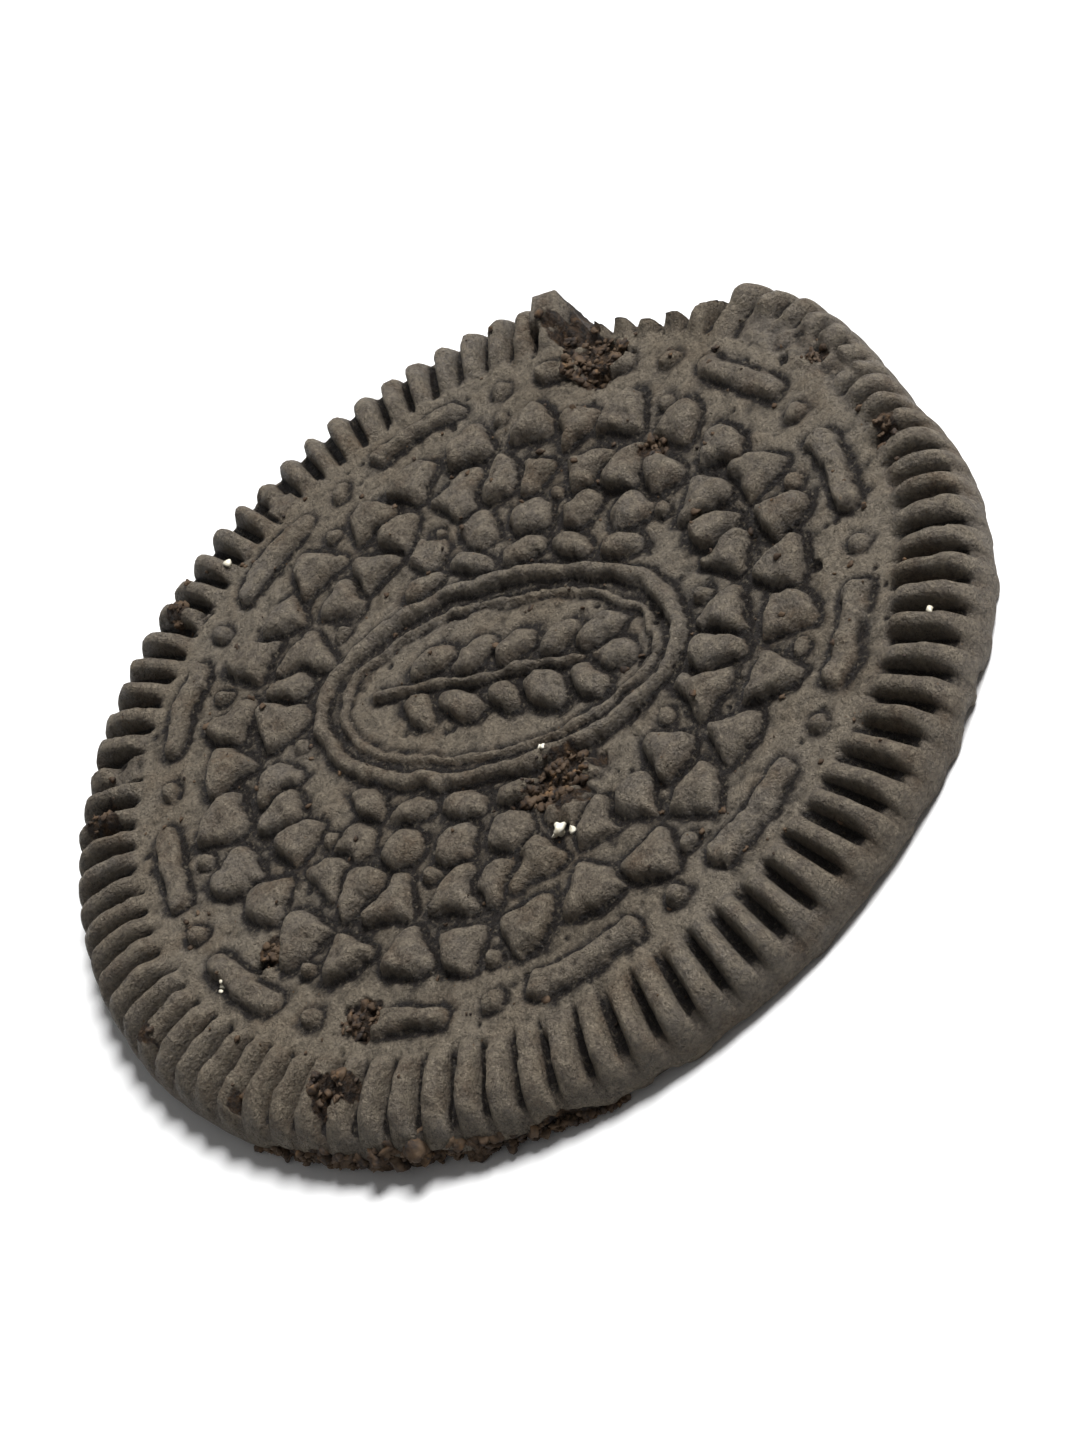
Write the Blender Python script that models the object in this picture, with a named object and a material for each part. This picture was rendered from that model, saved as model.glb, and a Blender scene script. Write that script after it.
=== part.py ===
"""One wafer of a chocolate sandwich cookie, lying on its flat underside with the moulded face up.

Metres, +Z up. The origin is the centre of the underside. Angles run anticlockwise from +X, seen from above.
The face carries a ring of radial fingers round the rim, a ring of dashes and dots, a garland of three-petalled
sprigs, rows of leaves and buds, and an oval medallion with a wheat ear. A piece of the rim is broken out, a stretch
of it is worn back, and its foot is chipped.
"""

import math
import random

import bmesh
import bpy

MM = 0.001

# Driving dimensions of the blank.
RADIUS = 22.5 * MM  # widest point, low on the side
FLOOR = 2.5 * MM  # height of the face between its raised shapes
RELIEF = 0.75 * MM  # how far the petals stand above the floor
SUNK = 0.1 * MM  # how far a raised shape reaches into the blank, so that the union is clean

# Fingers round the rim. Each ring is (radius, height on a finger, height in a gap), from the face outwards.
FINGERS = 88
FINGER_TOP = 0.26  # half a finger's flat top, as a share of the pitch
FINGER_FOOT = 0.39  # half a finger's foot, as a share of the pitch
RIM_RINGS = (
    (RADIUS - 3.80 * MM, FLOOR, FLOOR),
    (RADIUS - 3.35 * MM, FLOOR + 0.42 * MM, FLOOR - 0.35 * MM),
    (RADIUS - 1.50 * MM, FLOOR + 0.48 * MM, FLOOR - 0.80 * MM),
    (RADIUS - 0.70 * MM, FLOOR + 0.05 * MM, FLOOR - 0.75 * MM),
    (RADIUS - 0.12 * MM, FLOOR - 1.20 * MM, FLOOR - 1.20 * MM),
)
SIDE_RINGS = ((RADIUS, 0.75 * MM), (RADIUS - 0.35 * MM, 0.0))
WORN_ARC = (-4.0, 24.0)  # degrees where the fingers are rubbed almost flat
WORN_DEPTH = 0.75  # share of a finger's height lost there
LOST_FINGER = 95.0  # degrees, where one finger is missing
# Where the rim's outer edge is worn back: (degrees, depth), straight between.
WORN_BACK = (
    (-38.0, 0.0),
    (-22.0, 0.55 * MM),
    (-9.0, 1.25 * MM),
    (-1.0, 1.10 * MM),
    (6.0, 0.65 * MM),
    (14.0, 0.20 * MM),
    (24.0, 0.0),
)
WORN_FROM = RADIUS - 3.3 * MM  # inside this radius the rim isn't worn back

# Dashes and dots inside the fingers.
DASHES = 12
DASH_RADIUS = RADIUS - 5.45 * MM
DASH_PHASE = 13.5  # degrees
DASH_SPAN = 17.5  # degrees
DASH_WIDTH = 1.1 * MM
DASH_HEIGHT = 0.5 * MM
DOT_RADIUS = 0.48 * MM
DOT_HEIGHT = 0.42 * MM

# Garland: sprigs of three petals, pointing out and in by turns.
SPRIGS = 20
OUT_HUB_RADIUS = 11.95 * MM
IN_HUB_RADIUS = 13.05 * MM
GARLAND_PHASE = 5.0  # degrees
PETAL_START = 0.55 * MM  # from the hub
PETAL_LENGTH = 2.15 * MM
PETAL_WIDTH = 2.05 * MM

# Medallion.
OVAL_TURN = -43.0  # degrees from +X to the oval's long axis
OVAL_LONG = 9.0 * MM
OVAL_SHORT = 5.3 * MM
OVAL_BAND = 0.85 * MM
OVAL_SEGMENTS = 36
EAR_GRAINS = 5  # on each side of the stem
EAR_STEP = 2.15 * MM
EAR_ANGLE = 38.0  # degrees between stem and grain
GRAIN_LENGTH = 2.3 * MM
GRAIN_WIDTH = 1.2 * MM
GRAIN_HEIGHT = 0.55 * MM
STEM_WIDTH = 0.5 * MM

# Rows outside both long sides of the oval: leaves that lie along it, and buds behind them that point away.
ROW_COUNT = 5
ROW_STEP = 2.55 * MM
ROW_GAP = 0.3 * MM  # oval to leaf, and leaf to bud
LEAF_LENGTH = 2.3 * MM
LEAF_WIDTH = 1.15 * MM
LEAF_LEAN = 12.0  # degrees, to either side by turns
BUD_LENGTH = 1.9 * MM
BUD_WIDTH = 1.9 * MM
END_BUD = 0.68  # size of the last bud of a row, against the others

# Damage.
BITE_ARC = (25.0, 50.0)  # degrees of rim broken out
BITE_DEPTH = 3.3 * MM
BITE_SLANT = 1.1 * MM  # the break is this much shallower at the underside
FLAKE_ANGLE = 51.6  # degrees, the lifted splinter at the bite's end
CHIP_ARC = (206.0, 249.0)  # degrees of the foot that is chipped
CHIP_DEPTH = 0.75 * MM
CHIP_HEIGHT = 0.85 * MM
SEED = 11


def polar(radius, degrees, z=0.0):
    angle = math.radians(degrees)
    return (radius * math.cos(angle), radius * math.sin(angle), z)


def in_arc(degrees, arc):
    """True if an angle lies in an arc given as (start, end) in degrees."""
    return (degrees - arc[0]) % 360.0 <= arc[1] - arc[0]


def placed(x, y, centre, degrees):
    """A point given along and across a shape's own axis, turned and moved onto the face."""
    angle = math.radians(degrees)
    return (
        centre[0] + x * math.cos(angle) - y * math.sin(angle),
        centre[1] + x * math.sin(angle) + y * math.cos(angle),
    )


# Blank ---------------------------------------------------------------------------------------------------------


def rim_samples():
    """(angle in degrees, True on a finger's top) for the four corners of each finger."""
    pitch = 360.0 / FINGERS
    for k in range(FINGERS):
        middle = (k + 0.5) * pitch
        yield middle - FINGER_FOOT * pitch, False
        yield middle - FINGER_TOP * pitch, True
        yield middle + FINGER_TOP * pitch, True
        yield middle + FINGER_FOOT * pitch, False


def rim_height(degrees, on_finger, top, gap):
    """Height of a rim point, with the worn fingers and the missing one taken into account."""
    if on_finger and abs(degrees - LOST_FINGER) < 180.0 / FINGERS:
        return gap
    if in_arc(degrees, WORN_ARC):
        level = gap + (top - gap) * 0.45
        top = top + (level - top) * WORN_DEPTH
        gap = gap + (level - gap) * WORN_DEPTH
    return top if on_finger else gap


def worn_radius(radius, degrees):
    """A radius at the rim, less what is worn off its outer edge at that angle."""
    turn = (degrees + 180.0) % 360.0 - 180.0
    share = min(max((radius - WORN_FROM) / (RADIUS - WORN_FROM), 0.0), 1.0)
    for (start, start_depth), (end, end_depth) in zip(WORN_BACK, WORN_BACK[1:]):
        if start <= turn < end:
            return radius - share * (start_depth + (end_depth - start_depth) * (turn - start) / (end - start))
    return radius


def bridge(bm, outer, inner):
    """Quads between two rings of the same number of vertices, facing up or out."""
    for k in range(len(inner)):
        n = (k + 1) % len(inner)
        bm.faces.new((inner[k], outer[k], outer[n], inner[n]))


def blank_mesh():
    """The closed disc: flat face, fingers, side and flat underside."""
    bm = bmesh.new()
    samples = list(rim_samples())
    rings = [
        [bm.verts.new(polar(worn_radius(radius, a), a, rim_height(a, on, top, gap))) for a, on in samples]
        for radius, top, gap in RIM_RINGS
    ]
    rings += [
        [bm.verts.new(polar(worn_radius(radius, a), a, z)) for a, _ in samples] for radius, z in SIDE_RINGS
    ]
    bm.faces.new(rings[0])
    bm.faces.new(list(reversed(rings[-1])))
    for inner, outer in zip(rings, rings[1:]):
        bridge(bm, outer, inner)
    return finished(bm, "blank")


def finished(bm, name):
    """A mesh datablock from a bmesh, with its faces turned outwards."""
    bmesh.ops.recalc_face_normals(bm, faces=bm.faces)
    mesh = bpy.data.meshes.new(name)
    bm.to_mesh(mesh)
    bm.free()
    return mesh


# Raised shapes -------------------------------------------------------------------------------------------------


def scaled_ring(bm, outline, mid, scale, z):
    """The outline's points moved towards or away from its middle, at one height."""
    return [bm.verts.new((mid[0] + (x - mid[0]) * scale, mid[1] + (y - mid[1]) * scale, z)) for x, y in outline]


def add_nugget(bm, outline, height, crown=0.14, shrink=0.74):
    """A raised shape on the face: straight sides up to a smaller shoulder, then a low crown to a middle point.

    The sides run on below the floor at the same slope, so the shape meets the floor along its outline.
    """
    count = len(outline)
    mid = (sum(p[0] for p in outline) / count, sum(p[1] for p in outline) / count)
    shoulder_height = height * (1 - crown)
    spread = 1 + (1 - shrink) * SUNK / shoulder_height
    low = scaled_ring(bm, outline, mid, spread, FLOOR - SUNK)
    shoulder = scaled_ring(bm, outline, mid, shrink, FLOOR + shoulder_height)
    apex = bm.verts.new((*mid, FLOOR + height))
    bm.faces.new(list(reversed(low)))
    bridge(bm, low, shoulder)
    for k in range(count):
        bm.faces.new((shoulder[k], shoulder[(k + 1) % count], apex))


def wedge(centre, degrees, start, length, width):
    """Outline of a petal: narrow at its start, widest near its rounded end."""
    shape = (
        (start, -0.14 * width),
        (start + 0.66 * length, -0.50 * width),
        (start + 0.95 * length, -0.30 * width),
        (start + 0.95 * length, 0.30 * width),
        (start + 0.66 * length, 0.50 * width),
        (start, 0.14 * width),
    )
    return [placed(x, y, centre, degrees) for x, y in shape]


def grain(centre, degrees, length, width):
    """Outline of a grain, leaf or bud: a seven-sided lens about its own middle."""
    shape = (
        (-0.50, -0.12),
        (-0.12, -0.50),
        (0.30, -0.42),
        (0.50, 0.00),
        (0.30, 0.42),
        (-0.12, 0.50),
        (-0.50, 0.12),
    )
    return [placed(x * length, y * width, centre, degrees) for x, y in shape]


def disc(centre, radius, sides=6):
    return [placed(radius, 0.0, centre, 0.0)] + [
        placed(
            radius * math.cos(math.tau * k / sides),
            radius * math.sin(math.tau * k / sides),
            centre,
            0.0,
        )
        for k in range(1, sides)
    ]


def dash(middle_degrees):
    """Outline of one curved dash, with tapered ends."""
    half = DASH_SPAN / 2
    steps = ((-1.0, 0.22), (-0.86, 0.5), (0.0, 0.5), (0.86, 0.5), (1.0, 0.22))
    inner = [polar(DASH_RADIUS - w * DASH_WIDTH, middle_degrees + t * half)[:2] for t, w in steps]
    outer = [polar(DASH_RADIUS + w * DASH_WIDTH, middle_degrees + t * half)[:2] for t, w in steps]
    return outer + list(reversed(inner))


def add_border(bm):
    """The ring of dashes, with a dot between each two."""
    for k in range(DASHES):
        middle = DASH_PHASE + 360.0 * k / DASHES
        add_nugget(bm, list(reversed(dash(middle))), DASH_HEIGHT, crown=0.05)
        dot = polar(DASH_RADIUS, middle + 180.0 / DASHES)
        add_nugget(bm, disc(dot, DOT_RADIUS), DOT_HEIGHT)


def add_garland(bm):
    """Sprigs of three petals round a hub, every second one pointing inwards, with a dot in each hollow."""
    for k in range(SPRIGS):
        angle = GARLAND_PHASE + 360.0 * k / SPRIGS
        outward = k % 2 == 0
        hub_radius = OUT_HUB_RADIUS if outward else IN_HUB_RADIUS
        hub = polar(hub_radius, angle)
        first = angle if outward else angle + 180.0
        for turn in (0.0, 120.0, 240.0):
            petal = wedge(hub, first + turn, PETAL_START, PETAL_LENGTH, PETAL_WIDTH)
            add_nugget(bm, petal, RELIEF)
        hollow = hub_radius + (-1 if outward else 1) * (PETAL_START + 0.75 * PETAL_LENGTH)
        add_nugget(bm, disc(polar(hollow, angle), 0.8 * DOT_RADIUS), DOT_HEIGHT)


def add_rows(bm):
    """Leaves along the outside of both long sides of the oval, and a bud behind each."""
    for side in (1, -1):
        for k in range(ROW_COUNT):
            along = (k - (ROW_COUNT - 1) / 2) * ROW_STEP
            edge = OVAL_SHORT * math.sqrt(1 - (along / OVAL_LONG) ** 2) + OVAL_BAND / 2 + ROW_GAP
            leaf = placed(along, side * (edge + LEAF_WIDTH / 2), (0.0, 0.0), OVAL_TURN)
            tangent = math.degrees(math.atan2(-side * along * OVAL_SHORT, OVAL_LONG * 8.0 * MM))
            turn = OVAL_TURN + tangent + side * LEAF_LEAN * (-1) ** k
            add_nugget(bm, grain(leaf, turn, LEAF_LENGTH, LEAF_WIDTH), DASH_HEIGHT)
            size = END_BUD if k in (0, ROW_COUNT - 1) else 1.0
            across = side * (edge + LEAF_WIDTH + ROW_GAP + size * BUD_LENGTH / 2)
            bud = placed(along, across, (0.0, 0.0), OVAL_TURN)
            turn = OVAL_TURN + math.degrees(math.atan2(across, 1.4 * along))
            add_nugget(bm, grain(bud, turn, size * BUD_LENGTH, size * BUD_WIDTH), RELIEF * 0.85)


def add_oval(bm):
    """The raised band round the medallion."""
    loops = []
    for offset, z in (
        (0.5, FLOOR - SUNK),
        (0.5, FLOOR + 0.05 * MM),
        (0.2, FLOOR + DASH_HEIGHT),
        (-0.2, FLOOR + DASH_HEIGHT),
        (-0.5, FLOOR + 0.05 * MM),
        (-0.5, FLOOR - SUNK),
    ):
        loop = []
        for k in range(OVAL_SEGMENTS):
            t = math.tau * k / OVAL_SEGMENTS
            x = (OVAL_LONG + offset * OVAL_BAND) * math.cos(t)
            y = (OVAL_SHORT + offset * OVAL_BAND) * math.sin(t)
            loop.append(bm.verts.new((*placed(x, y, (0.0, 0.0), OVAL_TURN), z)))
        loops.append(loop)
    for k, loop in enumerate(loops):
        bridge(bm, loop, loops[(k + 1) % len(loops)])


def add_wheat_ear(bm):
    """A stem with a pair of grains at each step, and one grain at its tip."""
    first = -EAR_STEP * (EAR_GRAINS - 1) / 2 - 0.6 * MM
    last = first + EAR_STEP * (EAR_GRAINS - 1)
    stem = [
        placed(x, y, (0.0, 0.0), OVAL_TURN)
        for x, y in (
            (first - 1.3 * MM, -STEM_WIDTH / 2),
            (last + 0.5 * MM, -STEM_WIDTH / 2),
            (last + 0.5 * MM, STEM_WIDTH / 2),
            (first - 1.3 * MM, STEM_WIDTH / 2),
        )
    ]
    add_nugget(bm, stem, DOT_HEIGHT * 0.7, shrink=0.9)
    reach = STEM_WIDTH / 2 + 0.22 * MM + GRAIN_LENGTH / 2
    for k in range(EAR_GRAINS):
        along = first + k * EAR_STEP
        for side in (1, -1):
            turn = side * EAR_ANGLE
            x = along + reach * math.cos(math.radians(turn))
            y = side * STEM_WIDTH / 2 + reach * math.sin(math.radians(turn))
            middle = placed(x, y, (0.0, 0.0), OVAL_TURN)
            add_nugget(bm, grain(middle, OVAL_TURN + turn, GRAIN_LENGTH, GRAIN_WIDTH), GRAIN_HEIGHT)
    tip = placed(last + 0.9 * MM + GRAIN_LENGTH / 2, 0.0, (0.0, 0.0), OVAL_TURN)
    add_nugget(bm, grain(tip, OVAL_TURN, GRAIN_LENGTH, GRAIN_WIDTH), GRAIN_HEIGHT)


def relief_mesh():
    """Every raised shape on the face, each a closed lump that reaches into the blank."""
    bm = bmesh.new()
    add_border(bm)
    add_garland(bm)
    add_rows(bm)
    add_oval(bm)
    add_wheat_ear(bm)
    return finished(bm, "relief")


def flake_mesh():
    """The splinter of rim that stands up at the end of the bite."""
    bm = bmesh.new()
    base = [
        bm.verts.new(polar(radius, FLAKE_ANGLE + turn, FLOOR - 1.4 * MM))
        for radius, turn in ((19.6 * MM, -1.5), (21.9 * MM, -1.0), (21.9 * MM, 2.2), (19.4 * MM, 3.0))
    ]
    top = [
        bm.verts.new(polar(radius, FLAKE_ANGLE + turn, FLOOR + z))
        for radius, turn, z in (
            (19.9 * MM, -0.6, 0.35 * MM),
            (21.7 * MM, -0.2, 0.85 * MM),
            (21.6 * MM, 1.3, 0.60 * MM),
            (19.9 * MM, 2.0, 0.40 * MM),
        )
    ]
    bm.faces.new(list(reversed(base)))
    bm.faces.new(top)
    bridge(bm, base, top)
    return finished(bm, "flake")


# Damage --------------------------------------------------------------------------------------------------------


def bite_mesh(rng):
    """Cutter for the broken rim: a jagged scoop from above, less deep at the underside."""
    bm = bmesh.new()
    steps = 12
    top, bottom = [], []
    for k in range(steps + 1):
        t = k / steps
        angle = BITE_ARC[0] + t * (BITE_ARC[1] - BITE_ARC[0])
        dip = math.sin(math.pi * t) ** 0.45
        jag = rng.uniform(-0.28, 0.28) * MM if 0 < k < steps else 0.0
        radius = RADIUS + 0.4 * MM - (BITE_DEPTH + 0.4 * MM) * dip + jag
        top.append(bm.verts.new(polar(radius, angle, FLOOR + 1.5 * MM)))
        bottom.append(bm.verts.new(polar(radius + BITE_SLANT * dip, angle, -0.5 * MM)))
    for turn in (3.0, 0.0, -3.0):
        angle = (BITE_ARC[0] if turn < 0 else BITE_ARC[1]) + turn
        if turn == 0.0:
            angle = sum(BITE_ARC) / 2
        top.append(bm.verts.new(polar(RADIUS + 3.0 * MM, angle, FLOOR + 1.5 * MM)))
        bottom.append(bm.verts.new(polar(RADIUS + 3.0 * MM, angle, -0.5 * MM)))
    bm.faces.new(top)
    bm.faces.new(list(reversed(bottom)))
    bridge(bm, bottom, top)
    return finished(bm, "bite")


def chip_mesh(rng):
    """Cutter for the chipped foot: a jagged ring segment that bites into the lower edge of the side."""
    bm = bmesh.new()
    steps = 16
    sections = []
    for k in range(steps + 1):
        t = k / steps
        angle = CHIP_ARC[0] + t * (CHIP_ARC[1] - CHIP_ARC[0])
        fade = math.sin(math.pi * (0.06 + 0.88 * t)) ** 0.5
        depth = CHIP_DEPTH * fade * rng.uniform(0.55, 1.25)
        height = CHIP_HEIGHT * fade * rng.uniform(0.7, 1.2)
        sections.append(
            [
                bm.verts.new(polar(radius, angle, z))
                for radius, z in (
                    (RADIUS - 0.3 * MM - depth, -0.5 * MM),
                    (RADIUS + 1.0 * MM, -0.5 * MM),
                    (RADIUS + 1.0 * MM, height),
                    (RADIUS - depth, height * 0.8),
                )
            ]
        )
    bm.faces.new(sections[0])
    bm.faces.new(list(reversed(sections[-1])))
    for near, far in zip(sections, sections[1:]):
        bridge(bm, near, far)
    return finished(bm, "chip")


# Assembly ------------------------------------------------------------------------------------------------------


def clear_scene():
    for obj in list(bpy.data.objects):
        bpy.data.objects.remove(obj)


def chocolate_material():
    material = bpy.data.materials.new("chocolate_biscuit")
    material.use_nodes = True
    shader = material.node_tree.nodes["Principled BSDF"]
    shader.inputs["Base Color"].default_value = (0.115, 0.095, 0.075, 1.0)
    shader.inputs["Roughness"].default_value = 0.75
    shader.inputs["Metallic"].default_value = 0.0
    return material


def add_object(name, mesh):
    obj = bpy.data.objects.new(name, mesh)
    bpy.context.scene.collection.objects.link(obj)
    return obj


def add_tool(wafer, mesh, operation):
    """A Boolean on the wafer with a hidden tool object."""
    tool = add_object(mesh.name + "_tool", mesh)
    tool.parent = wafer
    tool.hide_render = True
    tool.display_type = "WIRE"
    boolean = wafer.modifiers.new(mesh.name, "BOOLEAN")
    boolean.operation = operation
    boolean.solver = "EXACT"
    boolean.object = tool


def centre_box(wafer):
    """Moves the wafer so that its box is centred. The worn rim makes it narrower on one side of its axis."""
    xs = [vertex.co.x for vertex in wafer.data.vertices]
    wafer.location.x = -(min(xs) + max(xs)) / 2


def main():
    clear_scene()
    rng = random.Random(SEED)
    wafer = add_object("wafer", blank_mesh())
    wafer.data.materials.append(chocolate_material())
    centre_box(wafer)
    add_tool(wafer, relief_mesh(), "UNION")
    add_tool(wafer, bite_mesh(rng), "DIFFERENCE")
    add_tool(wafer, flake_mesh(), "UNION")
    add_tool(wafer, chip_mesh(rng), "DIFFERENCE")


main()
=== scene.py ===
"""The looks of a chocolate sandwich cookie's wafer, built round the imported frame.

Lengths are in millimetres. Only the functions that make Blender's objects turn them into metres.
Angles are in degrees round the wafer's axis, anticlockwise from +X as seen from above.
"""

import math

import bmesh
import bpy
import numpy as np
from mathutils import Matrix, Vector


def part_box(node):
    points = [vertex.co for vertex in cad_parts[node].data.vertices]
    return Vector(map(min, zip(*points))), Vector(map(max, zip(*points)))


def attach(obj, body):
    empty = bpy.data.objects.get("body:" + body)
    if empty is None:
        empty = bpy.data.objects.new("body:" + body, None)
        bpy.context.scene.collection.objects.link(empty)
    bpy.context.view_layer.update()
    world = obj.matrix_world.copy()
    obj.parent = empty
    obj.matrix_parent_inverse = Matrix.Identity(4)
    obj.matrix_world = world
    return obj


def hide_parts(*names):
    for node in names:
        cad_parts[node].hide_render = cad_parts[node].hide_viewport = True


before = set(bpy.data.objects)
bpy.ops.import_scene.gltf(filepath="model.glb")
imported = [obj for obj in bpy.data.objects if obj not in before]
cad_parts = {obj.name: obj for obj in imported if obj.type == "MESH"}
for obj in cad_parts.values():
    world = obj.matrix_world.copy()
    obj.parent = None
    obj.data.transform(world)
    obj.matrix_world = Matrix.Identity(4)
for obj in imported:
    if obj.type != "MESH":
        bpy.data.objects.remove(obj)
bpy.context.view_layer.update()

MM = 0.001
BODY = "root"
NODE = "wafer"

# Driving sizes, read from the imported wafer.
LOW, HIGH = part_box(NODE)
RADIUS = (HIGH[1] - LOW[1]) / 2 / MM
AXIS_X = LOW[0] / MM + RADIUS  # the round axis, off the box's middle as the rim is worn on one side
TOP = HIGH[2] / MM
FACE = TOP - 0.85  # height of the floor between the raised shapes

# Grid of the mesh. The finger steps are shares of the pitch between two fingers.
INNER_STEP = 0.14  # distance between points inside the rim
RIM_START = RADIUS - 4.85  # where the rim's own rows begin
FINGER_STEPS = (-0.46, -0.39, -0.335, -0.28, -0.20, -0.07, 0.07, 0.20, 0.28, 0.335, 0.39, 0.46)

# Rim fingers.
FINGERS = 88
FINGER_HALF = 0.375  # half a finger's foot, as a share of the pitch
FINGER_EDGE = 0.31  # width of its rounded flank, as a share of the pitch
RIM_PROFILE = (
    # (inwards from the widest point, above the face) on a finger, the same in a gap,
    # and the rows to the next point
    ((4.85, 0.00), (4.85, 0.00), 5),
    ((3.85, 0.00), (3.85, -0.02), 2),
    ((3.62, 0.14), (3.60, -0.18), 2),
    ((3.34, 0.42), (3.30, -0.42), 3),
    ((2.80, 0.56), (2.80, -0.66), 5),
    ((1.75, 0.52), (1.75, -0.82), 3),
    ((1.15, 0.37), (1.15, -0.84), 3),
    ((0.80, 0.12), (0.88, -0.80), 3),
    ((0.50, -0.24), (0.62, -0.72), 3),
    ((0.26, -0.68), (0.38, -0.88), 3),
    ((0.10, -1.20), (0.16, -1.26), 3),
    ((0.00, -1.75), (0.02, -1.75), 3),
    ((0.10, -2.20), (0.10, -2.20), 2),
    ((0.30, -2.42), (0.30, -2.42), 2),
    ((0.60, -2.50), (0.60, -2.50), 0),
)
WORN_ARC = (-4.0, 24.0)  # fingers rubbed to short stubs
WORN_BACK = (
    # (angle, how much of the rim's outer edge is worn back there)
    (-38.0, 0.0), (-22.0, 0.55), (-9.0, 1.25), (-1.0, 1.10), (6.0, 0.65), (14.0, 0.20), (24.0, 0.0),
)
LOST_FINGERS = (95.0, 143.0)  # angles of fingers that are missing
# (scale, column stride)
UNDERSIDE_RINGS = ((0.985, 1), (0.95, 2), (0.88, 4), (0.76, 8), (0.60, 16), (0.35, 32))

# Dashes and dots inside the fingers.
DASHES = 12
DASH_RADIUS = RADIUS - 5.45
DASH_PHASE = 13.5
DASH_LENGTH = 5.3
DASH_WIDTH = 1.15
BORDER_HEIGHT = 0.50

# Garland of three-petalled sprigs, pointing out and in by turns.
SPRIGS = 20
GARLAND_PHASE = 5.0
OUT_HUB = 11.95
IN_HUB = 13.05
PETAL_START = 0.30
PETAL_END = 2.95
PETAL_SPREAD = 37.0  # half the angle of a petal
PETAL_HEIGHT = 0.86
CREST = 0.66  # above this the shapes flatten out, by at most the span
CREST_SPAN = 0.18

# Medallion: an oval band with a thin inner band and a wheat ear.
OVAL_TURN = -43.0
OVAL_LONG = 9.0
OVAL_SHORT = 5.3
OVAL_BAND = 0.85
OVAL_HEIGHT = 0.52
INNER_BAND = 0.42
INNER_BAND_GAP = 1.15
INNER_BAND_HEIGHT = 0.20
EAR_PAIRS = 5
EAR_STEP = 2.15
EAR_ANGLE = 38.0
GRAIN_LENGTH = 2.5
GRAIN_WIDTH = 1.5
GRAIN_HEIGHT = 0.60
STEM_WIDTH = 0.55
STEM_HEIGHT = 0.42

# Two rows along both long sides of the oval: leaves that lie along it, and buds behind them that point away.
ROW_COUNT = 5
ROW_STEP = 2.55
LEAF_GAP = 0.35
LEAF_LENGTH = 2.45
LEAF_WIDTH = 1.25
LEAF_LEAN = 16.0
LEAF_HEIGHT = 0.58
BUD_LENGTH = 2.2
BUD_WIDTH = 2.1
BUD_HEIGHT = 0.66

# Damage. The break's outline is (angle, radius), and its foot stands out by BREAK_SLANT.
BREAK_OUTLINE = (
    (22.5, 22.6), (24.0, 21.5), (26.0, 20.2), (29.0, 19.6), (33.0, 19.3),
    (38.0, 19.2), (43.0, 19.3), (46.0, 19.8), (48.5, 20.9), (50.3, 22.0), (51.0, 22.6),
)
BREAK_SLANT = 0.9
BREAK_CLEAR = 0.5  # the broken wall's foot stays this far inside the widest point
SPLINTER = (51.9, 21.2)  # angle and radius of the splinter's tip
CHIPPED_FOOT = (204.0, 251.0)
CHIP_DEPTH = 0.35
# Broken skin: (angle, radius, size along the radius, size across it, depth)
CRUMB_SPOTS = (
    (46.5, 19.6, 1.6, 1.5, 0.30),
    (42.0, 17.4, 1.5, 1.7, 0.34),
    (217.5, 16.9, 0.9, 1.4, 0.28),
    (217.0, 20.3, 1.1, 1.0, 0.22),
    (185.0, 21.2, 0.5, 0.9, 0.10),
    (204.0, 21.4, 0.7, 0.7, 0.12),
    (149.0, 20.4, 0.8, 0.9, 0.16),
    (-16.0, 19.6, 0.6, 0.9, 0.10),
    (5.0, 19.5, 0.7, 0.6, 0.22),
    (116.5, 20.4, 0.7, 0.9, 0.16),
    (193.5, 15.2, 0.7, 0.8, 0.18),
    (20.0, 12.6, 0.6, 0.8, 0.14),
    (262.0, 7.6, 1.5, 1.9, 0.12),
)
# Holes: (angle, radius, size, depth)
HOLES = (
    (193.0, 15.9, 0.55, 0.75),
    (40.0, 16.3, 0.50, 0.60),
    (116.0, 18.95, 0.50, 0.55),
    (219.0, 16.5, 0.28, 0.45),
    (215.5, 17.2, 0.25, 0.40),
    (9.0, 18.7, 0.35, 0.40),
    (-33.0, 15.1, 0.40, 0.35),
)
# Cracks in the skin: corner points along and across the oval's axes
CRACKS = (
    ((-4.6, 3.2), (-3.6, 3.75), (-2.4, 3.6), (-1.6, 4.2), (-0.4, 4.35), (0.6, 4.15), (1.5, 4.5)),
    ((7.2, -0.9), (7.7, 0.1), (7.5, 1.0), (7.9, 1.7)),
    ((-12.3, 2.2), (-12.0, 1.2), (-12.5, 0.3)),
    ((10.9, 4.3), (11.8, 4.9), (12.3, 5.9)),
)
# Cream specks left on the face: (angle, radius, size)
CREAM_SPECKS = (
    (262.5, 5.5, 0.50),
    (264.5, 5.9, 0.26),
    (257.0, 10.1, 0.58),
    (259.5, 10.5, 0.34),
    (107.6, 19.2, 0.36),
    (-46.0, 20.8, 0.34),
    (190.0, 17.6, 0.30),
)
HEAPED_CRUMBS = 42  # per square millimetre of a crumb spot's sizes
STREWN_CRUMBS = 260
FOOT_CRUMBS = 480

# Colours as they look in plain light, in 0 to 255.
COCOA = (106, 95, 81)
COCOA_GREY = (114, 106, 96)
COCOA_WARM = (98, 80, 61)
# Painted shade for the hollows between and around the raised shapes, and also the colour of fine random dark
# specks.
SHADE_AND_SPECK_DARK = (26, 20, 16)
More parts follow.
